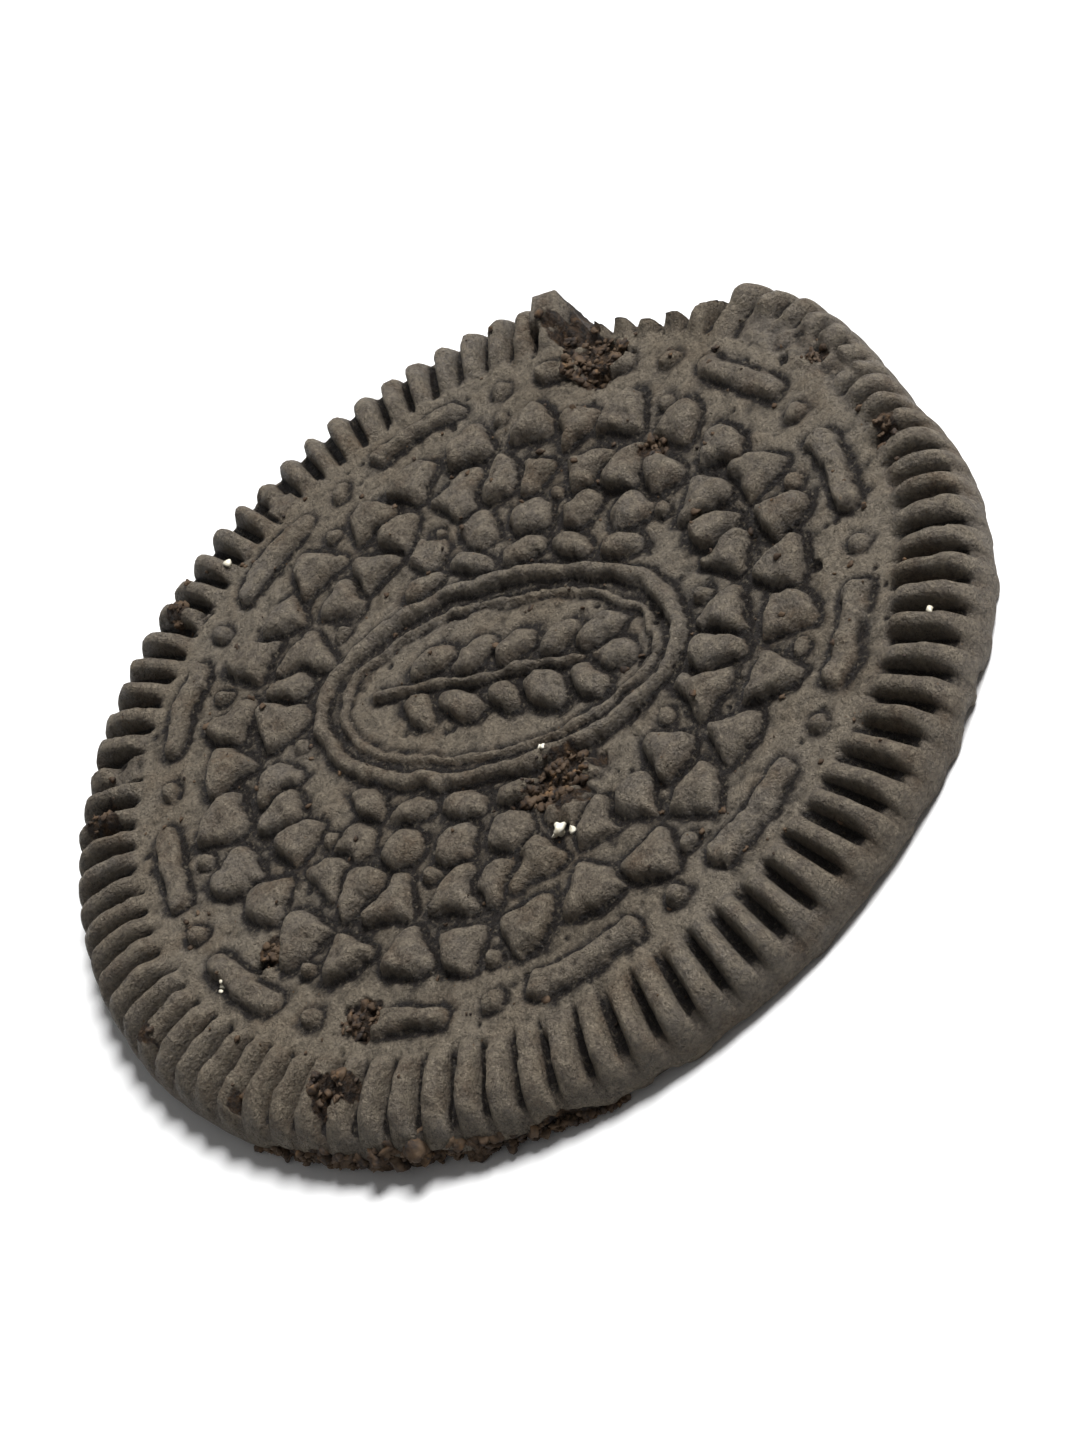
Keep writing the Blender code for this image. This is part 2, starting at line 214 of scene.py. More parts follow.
# Dusty bloom on the open floor and fine light specks, and also lighter crests, partly rubbed dust and partly
# a painted highlight.
DUST_AND_HIGHLIGHT = (148, 137, 119)
CRUMB_BROWN = (68, 52, 37)
CRUMB_GOLD = (106, 81, 55)
CRUMB_DARK = (28, 20, 15)
CRUMB_WARM = (80, 64, 48)
CREAM = (226, 222, 206)
CREAM_SHADE = (196, 186, 162)

# Camera: distance from the face's centre, how far above the horizon it stands, and its roll.
# Then the lamp: the direction it stands in, its distance and diameter, and the even light's strength.
CAMERA_DISTANCE = 149.0
CAMERA_ELEVATION = 40.9
CAMERA_ROLL = 42.03
CAMERA_AIM = (0.1, -4.0, 0.0)  # middle of the picture, from the face's centre
CAMERA_LENS = 87.0
KEY_FROM = (0.60, 0.12, 0.79)
KEY_DISTANCE = 900.0
KEY_SIZE = 460.0
KEY_WATTS = 15.0
AMBIENT = 0.14


# Noise and small helpers --------------------------------------------------------------------------

NOISE_TABLE = np.random.default_rng(5).uniform(-1.0, 1.0, (256, 256))


def fade(t):
    return t * t * t * (t * (t * 6.0 - 15.0) + 10.0)


def noise(x, y, cell, layer=0):
    """Smooth noise between -1 and 1 with one random value per cell. Each layer is a different pattern."""
    u = x / cell + 31.7 * layer
    v = y / cell + 57.3 * layer
    i = np.floor(u).astype(int)
    j = np.floor(v).astype(int)
    s = fade(u - i)
    t = fade(v - j)
    i0, i1, j0, j1 = i & 255, (i + 1) & 255, j & 255, (j + 1) & 255
    near = NOISE_TABLE[i0, j0] * (1 - s) + NOISE_TABLE[i1, j0] * s
    far = NOISE_TABLE[i0, j1] * (1 - s) + NOISE_TABLE[i1, j1] * s
    return near * (1 - t) + far * t


def fractal(x, y, cell, octaves=3, layer=0):
    total = np.zeros_like(x, dtype=float)
    weight = 1.0
    for octave in range(octaves):
        total += weight * noise(x, y, cell / 2**octave, layer + 7 * octave)
        weight *= 0.5
    return total


def smooth(value, low, high):
    """0 below low, 1 above high, with an even slope between."""
    t = np.clip((value - low) / (high - low), 0.0, 1.0)
    return t * t * (3.0 - 2.0 * t)


def pillow(t):
    """Height of a rounded shape against the share of the way in from its edge."""
    t = np.clip(t, 0.0, 1.0)
    return (1.0 - (1.0 - t) ** 2.3) ** 0.72


def polar(radius, angle):
    return radius * math.cos(math.radians(angle)), radius * math.sin(math.radians(angle))


def turned(x, y, angle):
    """Coordinates along and across an axis that points at the angle."""
    c, s = math.cos(math.radians(angle)), math.sin(math.radians(angle))
    return x * c + y * s, y * c - x * s


def angle_gap(a, b):
    """Signed difference of two angles, between -180 and 180."""
    return (a - b + 180.0) % 360.0 - 180.0


# Raised shapes on the face ------------------------------------------------------------------------


class Relief:
    """Raised shapes seen at a set of points. Where two meet, a crack is left between them."""

    CRACK = 0.16
    MOAT = 0.11  # depth of the groove round each shape

    def __init__(self, x, y):
        self.x, self.y = x, y
        self.nearest = np.full(x.shape, 9.0)
        self.second = np.full(x.shape, 9.0)
        self.peak = np.zeros(x.shape)
        self.edge = np.full(x.shape, 0.4)

    def around(self, centre, reach):
        """Numbers of the points near a shape, and their place from its middle."""
        dx = self.x - centre[0]
        dy = self.y - centre[1]
        near = np.flatnonzero((np.abs(dx) < reach) & (np.abs(dy) < reach))
        return near, dx[near], dy[near]

    def add(self, near, distance, peak, edge):
        """Adds a shape by its signed distance, negative inside, at the points near it."""
        closer = distance < self.nearest[near]
        self.second[near] = np.where(closer, self.nearest[near], np.minimum(self.second[near], distance))
        self.nearest[near] = np.where(closer, distance, self.nearest[near])
        self.peak[near] = np.where(closer, peak, self.peak[near])
        self.edge[near] = np.where(closer, edge, self.edge[near])

    def height(self):
        """Height of the shapes, and of the shallow moat that the mould's cutter left round each of them."""
        inside = np.maximum(self.nearest, (self.nearest - self.second + self.CRACK) / 2)
        moat = self.MOAT * (1.0 - smooth(inside, 0.0, 0.40))
        return (self.peak + moat) * pillow(-inside / self.edge) - moat


def smooth_max(a, b, blend):
    h = np.clip(0.5 + 0.5 * (a - b) / blend, 0.0, 1.0)
    return b + (a - b) * h + blend * h * (1.0 - h)


def add_petal(relief, hub, angle, rng):
    """A wedge with a rounded outer end, highest near that end."""
    near, dx, dy = relief.around(hub, PETAL_END + 0.8)
    along, across = turned(dx, dy, angle + rng.normal(0.0, 4.5))
    end = PETAL_END * rng.uniform(0.88, 1.04)
    spread = math.radians(PETAL_SPREAD * rng.uniform(0.88, 1.08))
    reach = np.hypot(along * 0.97, across)
    sides = np.abs(across) * math.cos(spread) - (along - 0.12) * math.sin(spread)
    distance = smooth_max(smooth_max(sides, reach - end, 0.55), PETAL_START - along, 0.35)
    peak = PETAL_HEIGHT * rng.uniform(0.86, 1.06) * (0.66 + 0.40 * np.clip(along / end, 0.0, 1.0))
    peak *= 1.0 + rng.normal(0.0, 0.10) * across - 0.16 * np.abs(across + rng.normal(0.0, 0.25))
    relief.add(near, distance, peak, rng.uniform(0.48, 0.66))


def add_grain(relief, centre, angle, length, width, peak, rng, power=2.3):
    """A rounded lens."""
    near, dx, dy = relief.around(centre, length)
    along, across = turned(dx, dy, angle + rng.normal(0.0, 4.0))
    a = length / 2 * rng.uniform(0.94, 1.06)
    b = width / 2 * rng.uniform(0.92, 1.06)
    form = (np.abs(along / a) ** power + np.abs(across / b) ** power) ** (1.0 / power)
    relief.add(near, (form - 1.0) * b, peak * rng.uniform(0.85, 1.1), 0.75 * b)


def add_border(relief, rng):
    """The ring of curved dashes, with a dot between each two."""
    angle = np.degrees(np.arctan2(relief.y, relief.x))
    radius = np.hypot(relief.x, relief.y)
    for k in range(DASHES):
        middle = DASH_PHASE + 360.0 * k / DASHES + rng.normal(0.0, 0.3)
        arc = np.radians(angle_gap(angle, middle)) * DASH_RADIUS
        near = np.flatnonzero((np.abs(arc) < DASH_LENGTH) & (np.abs(radius - DASH_RADIUS) < 1.5))
        past_end = np.maximum(np.abs(arc[near]) - (DASH_LENGTH - DASH_WIDTH) / 2, 0.0)
        width = DASH_WIDTH * rng.uniform(0.92, 1.08)
        distance = np.hypot(past_end, radius[near] - DASH_RADIUS - rng.normal(0.0, 0.05)) - width / 2
        relief.add(near, distance, BORDER_HEIGHT * rng.uniform(0.8, 1.1), 0.40)
        dot = polar(DASH_RADIUS + rng.normal(0.0, 0.08), middle + 180.0 / DASHES)
        add_grain(relief, dot, 0.0, 1.0, 1.0, BORDER_HEIGHT * 0.85, rng, power=2.0)


def add_garland(relief, rng):
    """Sprigs of three petals round a hub, with a dot in the hollow behind each."""
    for k in range(SPRIGS):
        angle = GARLAND_PHASE + 360.0 * k / SPRIGS + rng.normal(0.0, 0.5)
        outward = k % 2 == 0
        hub_radius = (OUT_HUB if outward else IN_HUB) + rng.normal(0.0, 0.12)
        hub = polar(hub_radius, angle)
        first = angle if outward else angle + 180.0
        for turn in (0.0, 120.0, 240.0):
            add_petal(relief, hub, first + turn, rng)
        dot = polar(hub_radius + (-2.0 if outward else 2.05), angle)
        add_grain(relief, dot, 0.0, 0.85, 0.85, BORDER_HEIGHT * 0.8, rng, power=2.0)


def oval_distance(along, across, long_axis, short_axis):
    """Distance from an ellipse, near it."""
    form = np.hypot(along / long_axis, across / short_axis) + 1e-6
    slope = np.hypot(along / long_axis**2, across / short_axis**2) / form + 1e-6
    return (form - 1.0) / slope


def add_medallion(relief, rng):
    """The oval band, the thin band inside it, and the wheat ear."""
    along, across = turned(relief.x, relief.y, OVAL_TURN)
    everywhere = np.arange(len(along))
    band = np.abs(oval_distance(along, across, OVAL_LONG, OVAL_SHORT)) - OVAL_BAND / 2
    relief.add(everywhere, band, OVAL_HEIGHT, 0.40)
    inner = oval_distance(along, across, OVAL_LONG - INNER_BAND_GAP, OVAL_SHORT - INNER_BAND_GAP)
    relief.add(everywhere, np.abs(inner) - INNER_BAND / 2, INNER_BAND_HEIGHT, 0.2)
    first = -EAR_STEP * (EAR_PAIRS - 1) / 2 - 0.6
    last = first + EAR_STEP * (EAR_PAIRS - 1)
    past_end = np.maximum(np.abs(along - (first + last - 0.8) / 2) - (last - first + 1.6) / 2, 0.0)
    stem = np.hypot(past_end, across - 0.08 * np.sin(along)) - STEM_WIDTH / 2
    relief.add(everywhere, stem, STEM_HEIGHT, 0.26)
    reach = STEM_WIDTH / 2 + 0.12 + GRAIN_LENGTH / 2
    for k in range(EAR_PAIRS):
        for side in (1, -1):
            lean = side * EAR_ANGLE
            x = first + k * EAR_STEP + reach * math.cos(math.radians(lean))
            y = side * STEM_WIDTH / 2 + reach * math.sin(math.radians(lean))
            centre = turned(x, y, -OVAL_TURN)
            add_grain(relief, centre, OVAL_TURN + lean, GRAIN_LENGTH, GRAIN_WIDTH, GRAIN_HEIGHT, rng)
    tip = turned(last + 0.9 + GRAIN_LENGTH / 2, 0.0, -OVAL_TURN)
    add_grain(relief, tip, OVAL_TURN, GRAIN_LENGTH, GRAIN_WIDTH, GRAIN_HEIGHT, rng)


def add_rows(relief, rng):
    """Leaves and buds along the outside of both long sides of the oval."""
    for side in (1, -1):
        for k in range(ROW_COUNT):
            x = (k - (ROW_COUNT - 1) / 2) * ROW_STEP
            edge = OVAL_SHORT * math.sqrt(1 - (x / OVAL_LONG) ** 2) + OVAL_BAND / 2 + LEAF_GAP
            tangent = math.degrees(math.atan2(-side * x * OVAL_SHORT, OVAL_LONG * 8.0))
            y = side * (edge + LEAF_WIDTH / 2)
            lean = tangent + side * LEAF_LEAN * (-1) ** k
            leaf = turned(x, y, -OVAL_TURN)
            add_grain(relief, leaf, OVAL_TURN + lean, LEAF_LENGTH, LEAF_WIDTH, LEAF_HEIGHT, rng, power=2.0)
            y = side * (edge + LEAF_WIDTH + 0.25 + BUD_LENGTH / 2)
            bud = turned(x * 1.04, y, -OVAL_TURN)
            outward = math.degrees(math.atan2(y, 1.4 * x))
            add_grain(relief, bud, OVAL_TURN + outward, BUD_LENGTH, BUD_WIDTH, BUD_HEIGHT, rng, power=2.6)


def crumb_mask(x, y):
    """How broken the skin is, from 0 to 1, and how much lower it lies there."""
    wobble = 0.45 * fractal(x, y, 0.9, 3, 4)
    mask = np.zeros_like(x)
    drop = np.zeros_like(x)
    for angle, radius, size_out, size_across, depth in CRUMB_SPOTS:
        centre = polar(radius, angle)
        along, across = turned(x - centre[0], y - centre[1], angle)
        near = np.hypot(along / size_out, across / size_across) + wobble
        spot = 1.0 - smooth(near, 0.72, 1.0)
        drop = np.maximum(drop, spot * depth)
        mask = np.maximum(mask, spot)
    return mask, drop


def hole_depth(x, y):
    """Depth of the few deep holes in the face."""
    depth = np.zeros_like(x)
    for angle, radius, size, deep in HOLES:
        centre = polar(radius, angle)
        away = np.hypot(x - centre[0], y - centre[1]) / size + 0.35 * noise(x, y, 0.5, 9)
        depth = np.maximum(depth, deep * (1.0 - smooth(away, 0.45, 1.05)))
    return depth


def crack_depth(x, y):
    """Depth of the fine cracks, each a groove along a chain of straight pieces."""
    along, across = turned(x, y, OVAL_TURN)
    along = along + 0.10 * noise(x, y, 0.4, 11)
    across = across + 0.10 * noise(x, y, 0.4, 12)
    away = np.full_like(x, 9.0)
    for crack in CRACKS:
        for (ax, ay), (bx, by) in zip(crack, crack[1:]):
            length = math.hypot(bx - ax, by - ay)
            share = ((along - ax) * (bx - ax) + (across - ay) * (by - ay)) / length**2
            share = np.clip(share, 0.0, 1.0)
            gap = np.hypot(along - ax - share * (bx - ax), across - ay - share * (by - ay))
            away = np.minimum(away, gap)
    return 0.20 * (1.0 - smooth(away, 0.03, 0.17))


def pit_depth(x, y, rng, count, reach):
    """Depth of many small pits scattered at random."""
    depth = np.zeros_like(x)
    for _ in range(count):
        radius = reach * math.sqrt(rng.uniform())
        centre = polar(radius, rng.uniform(0.0, 360.0))
        size = rng.uniform(0.12, 0.30)
        near = np.flatnonzero((np.abs(x - centre[0]) < size) & (np.abs(y - centre[1]) < size))
        away = np.hypot(x[near] - centre[0], y[near] - centre[1]) / size
        depth[near] = np.maximum(depth[near], rng.uniform(0.05, 0.16) * (1.0 - smooth(away, 0.3, 1.0)))
    return depth


def crumbly(x, y, layer=0):
    """Rough broken crumb: rounded lumps with sharp hollows between them."""
    coarse = np.abs(noise(x, y, 0.62, 20 + layer))
    fine = np.abs(noise(x, y, 0.30, 24 + layer))
    return 0.65 * coarse + 0.45 * fine - 0.32


def face_height(x, y):
    """At points inside the rim: height above the floor, how broken the skin is, how open the floor lies."""
    rng = np.random.default_rng(21)
    bent_x = x + 0.16 * fractal(x, y, 1.4, 3, 1)
    bent_y = y + 0.16 * fractal(x, y, 1.4, 3, 2)
    relief = Relief(bent_x, bent_y)
    add_garland(relief, rng)
    add_rows(relief, rng)
    add_medallion(relief, rng)
    add_border(relief, rng)
    wear = 0.92 + 0.16 * fractal(x, y, 4.5, 2, 3)
    raised = relief.height() * wear
    on_shape = smooth(raised, 0.05, 0.3)
    floor = 0.045 * fractal(x, y, 3.2, 2, 5) + 0.040 * fractal(x, y, 0.8, 2, 6)
    folds = 0.12 * (0.25 - np.abs(noise(x, y, 1.15, 14)))
    skin = on_shape * (0.045 * fractal(x, y, 0.75, 2, 7) + folds)
    mask, drop = crumb_mask(x, y)
    grain = 0.045 * fractal(x, y, 0.40, 2, 8)
    height = floor + grain + (raised + skin) * (1.0 - 0.35 * mask) - drop
    height += 0.35 * mask * crumbly(x, y)
    height -= hole_depth(x, y) + crack_depth(x, y) + pit_depth(x, y, rng, 420, RADIUS)
    over = np.maximum(height - CREST, 0.0)
    height = np.minimum(height, CREST) + CREST_SPAN * np.tanh(over / CREST_SPAN)
    return height, mask, smooth(relief.nearest, 0.05, 0.60)


# Rim ----------------------------------------------------------------------------------------------


def rim_columns(rng):
    """Angle, finger number and place across its finger of every column of the rim."""
    pitch = 360.0 / FINGERS
    shift = rng.normal(0.0, 0.035, FINGERS)
    numbers = np.arange(-1, FINGERS + 1)
    centres = (numbers + 0.5 + shift[numbers % FINGERS]) * pitch
    finger = np.repeat(np.arange(FINGERS), len(FINGER_STEPS))
    place = np.tile(FINGER_STEPS, FINGERS)
    angle = np.interp(finger + 0.5 + place, numbers + 0.5, centres)
    return angle, finger, place


def rim_rows():
    """The rim's two profiles, row by row: inward distance and height, on a finger and in a gap."""
    finger, gap = [], []
    for (on, off, count), (next_on, next_off, _) in zip(RIM_PROFILE, RIM_PROFILE[1:]):
        for k in range(count):
            t = k / count
            finger.append([on[0] + (next_on[0] - on[0]) * t, on[1] + (next_on[1] - on[1]) * t])
            gap.append([off[0] + (next_off[0] - off[0]) * t, off[1] + (next_off[1] - off[1]) * t])
    finger.append(list(RIM_PROFILE[-1][0]))
    gap.append(list(RIM_PROFILE[-1][1]))
    return rounded_path(np.array(finger)), rounded_path(np.array(gap))


def rounded_path(path, rounds=3):
    """The same path with its corners rounded and its ends kept."""
    for _ in range(rounds):
        path[1:-1] = 0.25 * path[:-2] + 0.5 * path[1:-1] + 0.25 * path[2:]
    return path


def finger_strength(angle, finger, place, rng):
    """How much each column belongs to a finger, from 0 in a gap to 1 on a finger's top, and its wear."""
    half = FINGER_HALF * rng.uniform(0.90, 1.08, FINGERS)
    across = pillow((half[finger] - np.abs(place)) / FINGER_EDGE)
    middle = (WORN_ARC[0] + WORN_ARC[1]) / 2
    from_middle = np.abs(angle_gap(angle, middle))
    half_arc = (WORN_ARC[1] - WORN_ARC[0]) / 2
    wear = 0.92 * (1.0 - smooth(from_middle, half_arc - 7.0, half_arc + 5.0))
    arc = np.radians(angle) * RADIUS
    wear = np.maximum(wear, 0.10 + 0.16 * noise(arc, arc * 0.0, 9.0, 13))
    for lost in LOST_FINGERS:
        number = int(lost / 360.0 * FINGERS)
        wear = np.where(finger == number, 0.95, wear)
    return across, np.clip(wear, 0.0, 1.0)


def worn_back(angle):
    """How much of the rim's outer edge is lost at an angle."""
    angles, depths = np.array(WORN_BACK).T
    return np.interp(angle_gap(angle, 0.0), angles, depths)


def rim_surface(rng):
    """Radius, height and broken-crumb mask of the rim, as rows of columns, and the columns' angles."""
    angle, finger, place = rim_columns(rng)
    on, off = rim_rows()
    across, wear = finger_strength(angle, finger, place, rng)
    tall = rng.uniform(0.86, 1.10, FINGERS)[finger]
    inward = off[:, :1] + across * (on[:, :1] - off[:, :1])
    lift = on[:, 1:] * tall - off[:, 1:]
    worn_level = off[:, 1:] + 0.38 * lift
    height = off[:, 1:] + across * lift
    height = height + (worn_level - height) * wear * (0.40 + 0.60 * smooth(inward, 1.5, 2.3))
    radius = RADIUS - inward - worn_back(angle) * smooth(-inward, -3.3, -0.3)

    # The inner ends of the fingers don't line up.
    inner_end = np.exp(-(((radius - (RADIUS - 3.5)) / 0.5) ** 2))
    radius = radius + inner_end * rng.normal(0.0, 0.10, FINGERS)[finger]
    theta = np.radians(angle) + 0.0 * radius
    x, y = radius * np.cos(theta), radius * np.sin(theta)
    ribbed = np.clip(lift / 0.6, 0.0, 1.0)
    height = height + ribbed * wear * 0.20 * fractal(x, y, 1.0, 3, 15)
    height = height + ribbed * (0.07 * fractal(x, y, 0.9, 2, 16) + 0.05 * fractal(x, y, 0.42, 2, 8))
    return radius, height, angle, ribbed


def raise_splinter(radius, height, angle):
    """Lifts the pointed splinter of rim beside the break."""
    tip_angle, tip_radius = SPLINTER
    arc = np.radians(angle_gap(angle, tip_angle)) * tip_radius
    out = radius - tip_radius
    near = np.maximum(np.abs(arc) / 0.95, np.abs(out + 0.15) / 1.25)
    lift = np.clip(1.0 - near, 0.0, 1.0)
    top = FACE + 0.42 + 0.42 * lift
    share = smooth(lift, 0.0, 0.35)
    return height + (np.maximum(height, top) - height) * share


def break_line(angle):
    """Radius of the broken outline at each column, or far outside where the rim is whole."""
    angles, radii = np.array(BREAK_OUTLINE).T
    line = np.interp(angle, angles, radii, left=99.0, right=99.0)
    arc = np.radians(angle) * RADIUS
    return line + 0.13 * fractal(arc, arc * 0.0, 0.9, 3, 17)


def break_rim(radius, height, angle, mask):
    """Rows that lie past the broken outline run down the wall of the break instead."""
    line = break_line(angle)
    rows = len(radius)
    for column in np.flatnonzero(line < RADIUS):
        past = np.flatnonzero(radius[:, column] > line[column])
        if len(past) == 0:
            continue
        first = past[0]
        share = np.arange(rows - first) / (rows - 1 - first)
        arc = np.full(rows - first, math.radians(angle[column]) * RADIUS)
        top = height[first, column]
        rough = crumbly(arc, share * top, 1) * np.sin(np.pi * share)
        wall = line[column] + BREAK_SLANT * share**1.5 + 0.30 * rough
        radius[first:, column] = np.minimum(wall, RADIUS - BREAK_CLEAR * share)
        height[first:, column] = top * (1.0 - share)
        mask[first:, column] = 1.0


def chip_foot(radius, height, angle, mask):
    """Breaks the lower edge of the side into crumbs, in layers."""
    start, end = CHIPPED_FOOT
    inside = smooth(angle, start, start + 6.0) * (1.0 - smooth(angle, end - 8.0, end))
    arc = np.radians(angle) * RADIUS
    ragged = 0.75 + 0.5 * fractal(arc, arc * 0.0, 2.4, 4, 18)
    reach = np.clip(inside * ragged, 0.0, 1.0)
    low = 1.0 - smooth(height, 0.30 + 0.95 * reach, 0.50 + 0.95 * reach)
    amount = low * reach
    rough = crumbly(arc + 0.0 * height, 1.8 * height, 2)
    radius -= amount * (CHIP_DEPTH - 0.5 * rough)
    np.maximum(mask, np.clip(amount * 1.6, 0.0, 1.0), out=mask)


def rim_points(rng):
    """Points of the rim from the gutter to the foot of the side, with their broken-crumb mask."""
    radius, height, angle, ribbed = rim_surface(rng)
    height = height + FACE
    height = raise_splinter(radius, height, angle)
    theta = np.radians(angle) + 0.0 * radius
    x, y = radius * np.cos(theta), radius * np.sin(theta)
    face, mask, gutter = (values.reshape(x.shape) for values in face_height(x.ravel(), y.ravel()))
    flat = 1.0 - smooth(radius, RADIUS - 3.9, RADIUS - 3.6)
    height = height + flat * face
    drop = np.clip(ribbed, 0.0, 1.0) * (1.0 - flat)
    spot, spot_drop = crumb_mask(x, y)
    height = height + drop * (0.50 * spot * crumbly(x, y) - spot_drop * 0.8 - hole_depth(x, y))
    height = height - drop * pit_depth(x.ravel(), y.ravel(), rng, 260, RADIUS).reshape(x.shape)
    side = smooth(FACE - height, 0.5, 1.1) * smooth(height, 0.0, 0.4)
    arc = theta * RADIUS
    radius = radius + side * (0.035 * fractal(arc, height, 1.6, 3, 19) - 0.02)
    mask = mask * (1.0 - smooth(FACE - height, 0.9, 1.4))
    break_rim(radius, height, angle, mask)
    chip_foot(radius, height, angle, mask)
    height[-1] = 0.0
    x = np.clip(radius * np.cos(theta), -RADIUS, RADIUS)
    y = np.clip(radius * np.sin(theta), -RADIUS, RADIUS)
    points = np.stack([x, y, np.maximum(height, 0.0)], axis=-1)
    return points, angle, mask, gutter * flat


# Mesh ---------------------------------------------------------------------------------------------


def zip_rings(inner, inner_angles, outer, outer_angles):
    """Triangles between two rings of point numbers, matched by angle and facing up."""
    faces = []
    i = j = 0
    n, m = len(inner), len(outer)
    inner_next = np.append(inner_angles[1:], inner_angles[0] + 360.0).tolist() + [1e9]
    outer_next = np.append(outer_angles[1:], outer_angles[0] + 360.0).tolist() + [1e9]
    while i < n or j < m:
        if i < n and (j >= m or inner_next[i] <= outer_next[j]):
            faces.append((inner[i], outer[j % m], inner[(i + 1) % n]))
            i += 1
        else:
            faces.append((inner[i % n], outer[j], outer[(j + 1) % m]))
            j += 1
    return faces


class Surface:
    """Points and faces of the wafer, ring by ring from the middle of the face to that of the underside."""

    def __init__(self):
        self.points = []
        self.masks = []
        self.floors = []
        self.faces = []
        self.count = 0
        self.ring = None
        self.angles = None

    def add_points(self, points, mask, floor):
        self.points.append(points)
        self.masks.append(mask)
        self.floors.append(floor)
        numbers = list(range(self.count, self.count + len(points)))
        self.count += len(points)
        return numbers

    def next_ring(self, points, mask, floor, angles):
        """Adds a ring and joins it to the last one, with quads where both have the same columns."""
        numbers = self.add_points(points, mask, floor)
        if self.ring is not None:
            if len(self.ring) == len(numbers):
                size = len(numbers)
                for k in range(size):
                    n = (k + 1) % size
                    self.faces.append((self.ring[k], numbers[k], numbers[n], self.ring[n]))
            else:
                self.faces += zip_rings(self.ring, self.angles, numbers, angles)
        self.ring, self.angles = numbers, angles

    def close(self, point, up):
        """Fans the last ring to one point in the middle."""
        (centre,) = self.add_points(point, np.zeros(1), np.zeros(1))
        for k, here in enumerate(self.ring):
            after = self.ring[(k + 1) % len(self.ring)]
            self.faces.append((centre, here, after) if up else (here, centre, after))


def inner_grid():
    """Radius, angles and size of each ring inside the rim."""
    count = round(RIM_START / INNER_STEP)
    for k in range(1, count):
        radius = RIM_START * k / count
        size = max(6, round(math.tau * radius / INNER_STEP))
        yield radius, np.arange(size) * 360.0 / size


def build_surface():
    surface = Surface()
    rings = list(inner_grid())
    radii = np.concatenate([np.full(len(angles), radius) for radius, angles in rings] + [np.zeros(1)])
    thetas = np.radians(np.concatenate([angles for _, angles in rings] + [np.zeros(1)]))
    x, y = radii * np.cos(thetas), radii * np.sin(thetas)
    height, mask, floor = face_height(x, y)
    points = np.stack([x, y, FACE + height], axis=-1)
    start = 0
    for radius, angles in rings:
        end = start + len(angles)
        surface.next_ring(points[start:end], mask[start:end], floor[start:end], angles)
        if start == 0:
            surface.close(points[-1:], up=True)
        start = end
    rim, angles, rim_mask, rim_floor = rim_points(np.random.default_rng(8))
    for row, row_mask, row_floor in zip(rim, rim_mask, rim_floor):
        surface.next_ring(row, row_mask, row_floor, angles)
    foot = rim[-1]
    for scale, stride in UNDERSIDE_RINGS:
        ring = foot[::stride] * (scale, scale, 0.0)
        nothing = np.zeros(len(ring))
        surface.next_ring(ring, nothing, nothing, angles[::stride])
    surface.close(np.zeros((1, 3)), up=False)
    return surface


def blurred(points, edges, rounds):
    """Points moved to the mean of their neighbours, a number of times."""
    degree = np.bincount(edges.ravel(), minlength=len(points))
    result = points.copy()
    for _ in range(rounds):
        total = np.empty_like(result)
        for axis in range(3):
            value = result[:, axis]
            forward = np.bincount(edges[:, 0], weights=value[edges[:, 1]], minlength=len(points))
            backward = np.bincount(edges[:, 1], weights=value[edges[:, 0]], minlength=len(points))
            total[:, axis] = forward + backward
        result = total / degree[:, None]
    return result


def hollowness(mesh, points, rounds):
    """How far each point lies below its smoothed surroundings, in mm. Crests are negative."""
    edges = np.empty(len(mesh.edges) * 2, dtype=np.int32)
    mesh.edges.foreach_get("vertices", edges)
    normals = np.empty(len(points) * 3)
    mesh.vertices.foreach_get("normal", normals)
    smoothed = blurred(points, edges.reshape(-1, 2), rounds)
    return ((smoothed - points) * normals.reshape(-1, 3)).sum(axis=1)


def add_attribute(mesh, name, values):
    layer = mesh.attributes.new(name, "FLOAT", "POINT")
    layer.data.foreach_set("value", np.ascontiguousarray(values, dtype=np.float32))


def new_object(name, mesh, material):
    obj = bpy.data.objects.new(name, mesh)
    bpy.context.scene.collection.objects.link(obj)
    mesh.materials.append(material)
    mesh.shade_smooth()
    return obj


def own_piece(obj):
    """Says that a piece belongs to the wafer's body, by hanging it under the body's empty."""
    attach(obj, BODY)


def make_wafer(material):
    surface = build_surface()
    points = np.concatenate(surface.points)
    mesh = bpy.data.meshes.new("cocoa_wafer")
    mesh.from_pydata(((points + (AXIS_X, 0.0, 0.0)) * MM).tolist(), [], surface.faces)
    mesh.update()
    add_attribute(mesh, "crumb", np.concatenate(surface.masks))
    add_attribute(mesh, "floor", np.concatenate(surface.floors))
    add_attribute(mesh, "hollow", hollowness(mesh, points, 10))
    add_attribute(mesh, "dip", hollowness(mesh, points, 60))
    wafer = new_object("cocoa_wafer", mesh, material)
    own_piece(wafer)
    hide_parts(NODE)
    return points


# Loose bits ---------------------------------------------------------------------------------------


